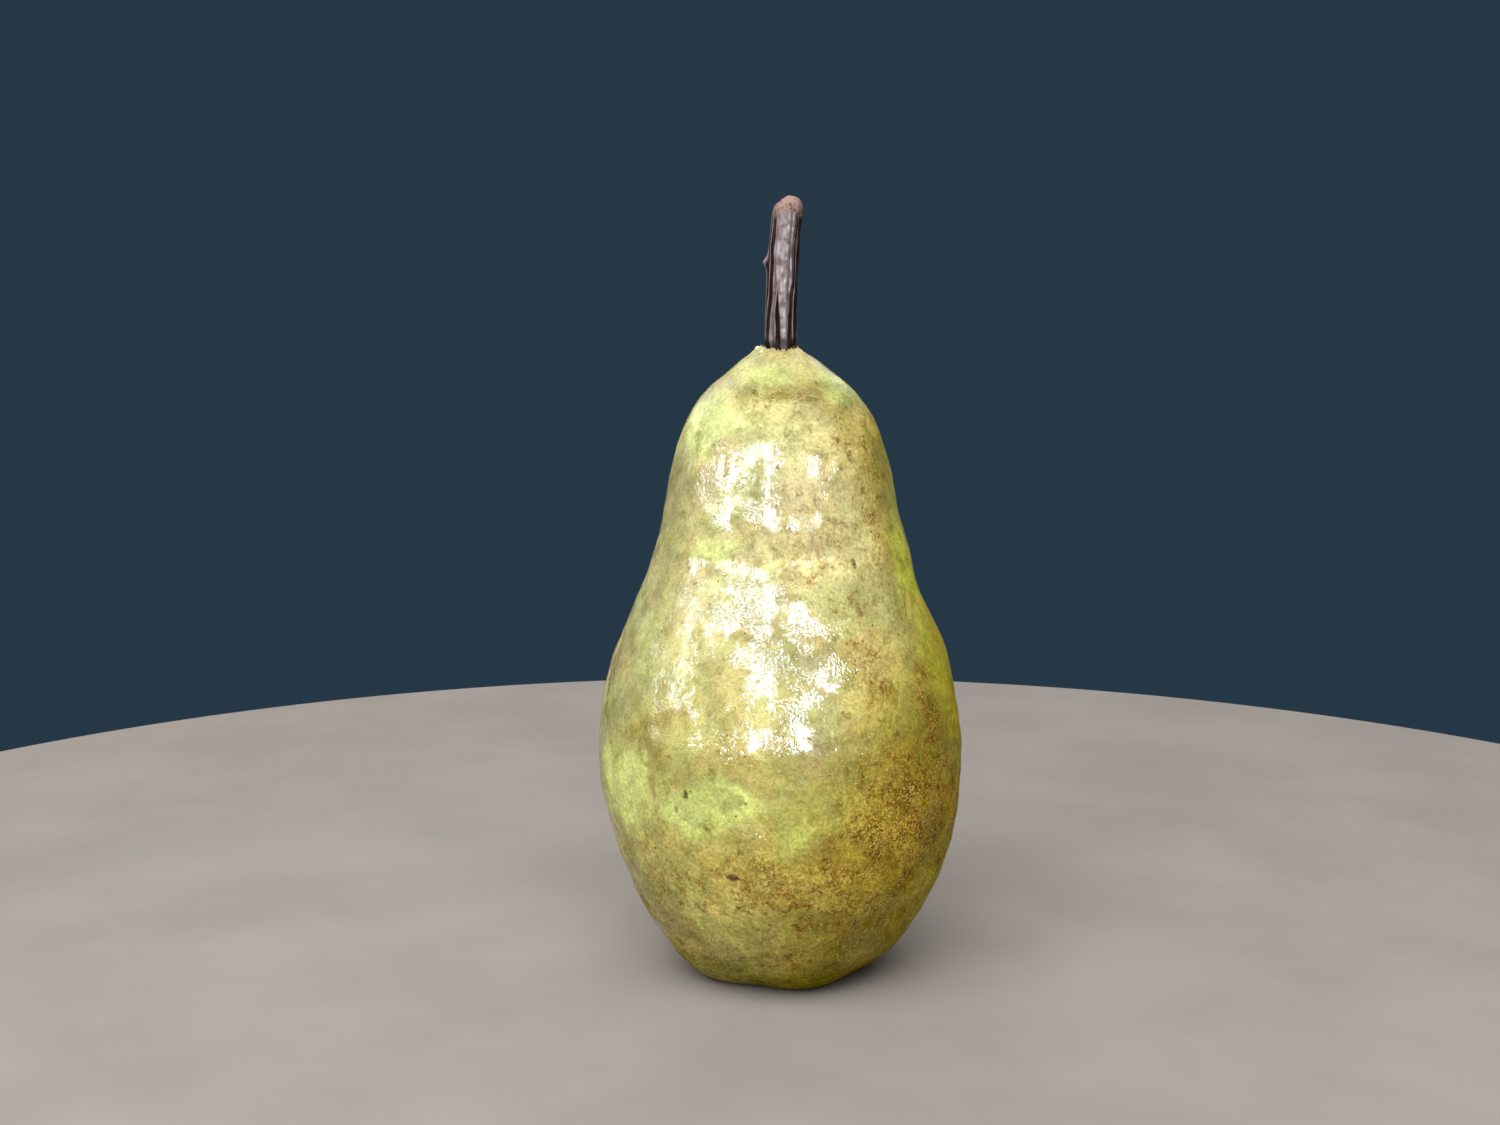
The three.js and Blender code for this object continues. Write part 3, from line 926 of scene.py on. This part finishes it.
def stalk_material():
    nodes = Nodes("pear_stalk")
    streak = nodes.noise(0.5, detail=3, roughness=0.6, place=nodes.stretched((1, 1, 0.12)))
    mottle = nodes.noise(1.4, detail=4, roughness=0.65)
    fine = nodes.noise(0.3, detail=2, roughness=0.6)
    face = nodes.attribute("face")

    sides = nodes.blend(WOOD_DARK, WOOD_BROWN, nodes.level(streak, 0.4, 0.66))
    # The worn faces are paler, partly a painted sheen.
    faces = nodes.blend(WOOD_FACE_AND_SHEEN, WOOD_PALE_AND_SHEEN, nodes.level(mottle, 0.35, 0.6))
    base = nodes.blend(sides, faces, face)
    # Painted shade in the grooves and a painted highlight on the ridges.
    base = nodes.blend(base, WOOD_DARK, nodes.level(nodes.attribute("dip"), 0.2, 0.8, 0.0, 0.9))
    base = nodes.blend(base, WOOD_RIDGE_HIGHLIGHT, nodes.level(nodes.attribute("crest"), 0.3, 0.9, 0.0, 0.8))
    tip = nodes.blend(TIP_BROWN, WOOD_DARK, nodes.level(nodes.plus(mottle, fine), 1.0, 1.25, 0.0, 0.8))
    base = nodes.blend(base, tip, nodes.attribute("tip"))
    base = nodes.blend(base, WOOD_DARK, nodes.times(nodes.attribute("foot"), 0.8))

    normal = nodes.bump(fine, GRAIN_DEPTH_MM, nodes.bump(streak, STREAK_DEPTH_MM))
    polish = nodes.times(nodes.level(face, 0.0, 1.0, 0.04, 0.5), nodes.level(mottle, 0.4, 0.7))
    return nodes.finish(
        Base_Color=base,
        Roughness=nodes.level(mottle, 0.3, 0.7, 0.4, 0.6),
        Normal=normal,
        Specular_IOR_Level=0.0,
        Coat_Weight=polish,
        Coat_Roughness=0.36,
        Coat_IOR=1.3,
        Coat_Normal=normal,
    )


# ---------------------------------------------------------------- the calyx

# Crinkles of the dried sepals: (size across, rise).
CRINKLES_MM = [(2.2, 0.28), (1.0, 0.16), (0.45, 0.07)]


def shape_calyx(piece):
    dried = Surface(piece, FRUIT_AXIS)
    lift = np.zeros(len(dried.points))
    for seed, (size, rise) in enumerate(CRINKLES_MM):
        lift += rise * MM * waves(dried.points, size * MM, 41 + seed)
    dried.raise_by(lift)
    dried.points = fit_to_box(dried.points, CALYX_LOW, CALYX_HIGH)
    dried.apply()
    dried.store("rim", ramp(dried.radius, 3.5 * MM, 6.5 * MM))


CALYX_DARK = (0.022, 0.012, 0.008)
CALYX_BROWN = (0.13, 0.075, 0.035)
CALYX_RIM = (0.22, 0.15, 0.085)
WRINKLE_DEPTH_MM = 0.06


def calyx_material():
    nodes = Nodes("pear_calyx")
    mottle = nodes.noise(0.8, detail=4, roughness=0.65)
    base = nodes.blend(CALYX_DARK, CALYX_BROWN, nodes.level(mottle, 0.38, 0.7))
    rim = nodes.times(nodes.attribute("rim"), nodes.level(mottle, 0.4, 0.6))
    base = nodes.blend(base, CALYX_RIM, rim)
    return nodes.finish(
        Base_Color=base,
        Roughness=nodes.level(mottle, 0.3, 0.7, 0.7, 0.95),
        Normal=nodes.bump(nodes.noise(0.3, detail=3, roughness=0.6), WRINKLE_DEPTH_MM),
    )


# ---------------------------------------------------------------- the studio

TABLE_RADIUS = 0.26
TABLE_SIDES = 160
TABLE_DARK = (0.252, 0.226, 0.202)
TABLE_PALE = (0.284, 0.252, 0.226)
WALL_BLUE = (0.020, 0.040, 0.060)

LIGHT_CENTRE = Vector((0, 0, 0.06))  # what every light faces
PANE_DISTANCE = 0.75
PANE_COLOUR = (0.95, 0.97, 1.0)

# Angles of lights are in degrees: azimuth 0 is the front, -Y, and 90 is +X.
# Window panes of light in front: (azimuth from, azimuth to, elevation from, elevation to, radiance).
PANES = [
    (-82, -74, 6, 28, 60),
    (-60, -51, 3, 17, 170),
    (-50, -42, 19, 36, 170),
    (-19, -12, -6, 14, 220),
    (-22, -15, 17, 42, 220),
    (17, 26, -7, 15, 200),
    (32, 40, -7, 9, 200),
    (16, 23, 18, 40, 220),
    (29, 37, 12, 30, 220),
]

# Broad soft lights: (name, azimuth, elevation, width, height, radiance, distance, what it lights). A light
# for "colour" leaves no highlight, and one for "gloss" is only seen reflected.
SOFT_LIGHTS = [
    ("key", -13, 42, 0.9, 0.9, 4.7, 0.8, "colour"),
    ("overhead", -50, 75, 1.6, 1.6, 1.0, 0.8, "both"),
    ("side_left", -105, 25, 1.2, 1.0, 0.7, 0.9, "gloss"),
    ("fill_160", 160, 35, 0.7, 0.7, 1.5, 1.0, "both"),
    ("fill_205", 205, 35, 0.7, 0.7, 1.5, 1.0, "both"),
]

# The camera was fitted to the outline of the pear in the photo.
CAMERA_PLACE_MM = (-5.33, -330.5, 119.7)
CAMERA_TILT = 82  # degrees up from straight down
CAMERA_SENSOR_MM = 36.0
CAMERA_LENS_MM = 45.6
CAMERA_CLIP = 0.01  # nothing nearer than this is seen


def direction(azimuth, elevation):
    """The way from the pear to a light, one metre long."""
    across, up = math.radians(azimuth), math.radians(elevation)
    return Vector((math.sin(across) * math.cos(up), -math.cos(across) * math.cos(up), math.sin(up)))


def panel(name, azimuth, elevation, wide, tall, radiance, distance):
    """A rectangular area light that faces the pear. wide and tall are its sides in metres."""
    light = bpy.data.lights.new(name, "AREA")
    light.shape = "RECTANGLE"
    light.size, light.size_y = wide, tall
    light.energy = radiance * math.pi * wide * tall
    lamp = bpy.data.objects.new(name, light)
    bpy.context.scene.collection.objects.link(lamp)
    away = direction(azimuth, elevation)
    lamp.location = LIGHT_CENTRE + away * distance
    lamp.rotation_euler = away.to_track_quat("Z", "Y").to_euler()
    lamp.visible_camera = False
    return lamp


def span(degrees):
    """The width in metres that a pane needs to look that many degrees wide from the pear."""
    return 2 * PANE_DISTANCE * math.tan(math.radians(degrees) / 2)


def add_lights():
    for number, (left, right, low, high, radiance) in enumerate(PANES):
        azimuth, elevation = (left + right) / 2, (low + high) / 2
        wide, tall = span(right - left), span(high - low)
        pane = panel(f"pane_{number}", azimuth, elevation, wide, tall, radiance, PANE_DISTANCE)
        pane.visible_diffuse = False
        pane.data.color = PANE_COLOUR
    for *placed, lights in SOFT_LIGHTS:
        lamp = panel(*placed)
        lamp.visible_glossy = lights != "colour"
        lamp.visible_diffuse = lights != "gloss"


def add_wall():
    """The dark blue that surrounds everything."""
    world = bpy.data.worlds.new("studio")
    world.use_nodes = True
    background = world.node_tree.nodes["Background"]
    background.inputs["Color"].default_value = (*WALL_BLUE, 1)
    background.inputs["Strength"].default_value = 1.0
    bpy.context.scene.world = world


def table_material():
    nodes = Nodes("table")
    tone = nodes.level(nodes.noise(40, detail=3, roughness=0.5), 0.3, 0.7)
    return nodes.finish(
        Base_Color=nodes.blend(TABLE_DARK, TABLE_PALE, tone),
        Roughness=0.75,
        Specular_IOR_Level=0.0,
    )


def add_table():
    bm = bmesh.new()
    bmesh.ops.create_circle(bm, cap_ends=True, radius=TABLE_RADIUS, segments=TABLE_SIDES)
    mesh = bpy.data.meshes.new("table")
    bm.to_mesh(mesh)
    bm.free()
    table = bpy.data.objects.new("table", mesh)
    bpy.context.scene.collection.objects.link(table)
    mesh.materials.append(table_material())


def add_camera():
    data = bpy.data.cameras.new("camera")
    data.sensor_width = CAMERA_SENSOR_MM
    data.lens = CAMERA_LENS_MM
    data.clip_start = CAMERA_CLIP
    camera = bpy.data.objects.new("camera", data)
    bpy.context.scene.collection.objects.link(camera)
    camera.location = [value * MM for value in CAMERA_PLACE_MM]
    camera.rotation_euler = Euler((math.radians(CAMERA_TILT), 0, 0))
    bpy.context.scene.camera = camera


# ---------------------------------------------------------------- the whole scene

fruit = finer_copy("fruit", "fruit_skin", levels=2)
add_rows(fruit, low=FRUIT_HEIGHT - 3 * MM, reach=6 * MM, cuts=3)  # for the collar
skin, collar, beads = shape_fruit(fruit)
colour_fruit(skin, collar, beads)
dress(fruit, "fruit", skin_material())

stalk = finer_copy("stalk", "stalk_wood", levels=2)
shape_stalk(stalk)
dress(stalk, "stalk", stalk_material())

calyx = finer_copy("calyx", "calyx_dried", levels=3)
shape_calyx(calyx)
dress(calyx, "calyx", calyx_material())

add_table()
add_lights()
add_wall()
add_camera()
bpy.context.scene.view_settings.view_transform = "Standard"
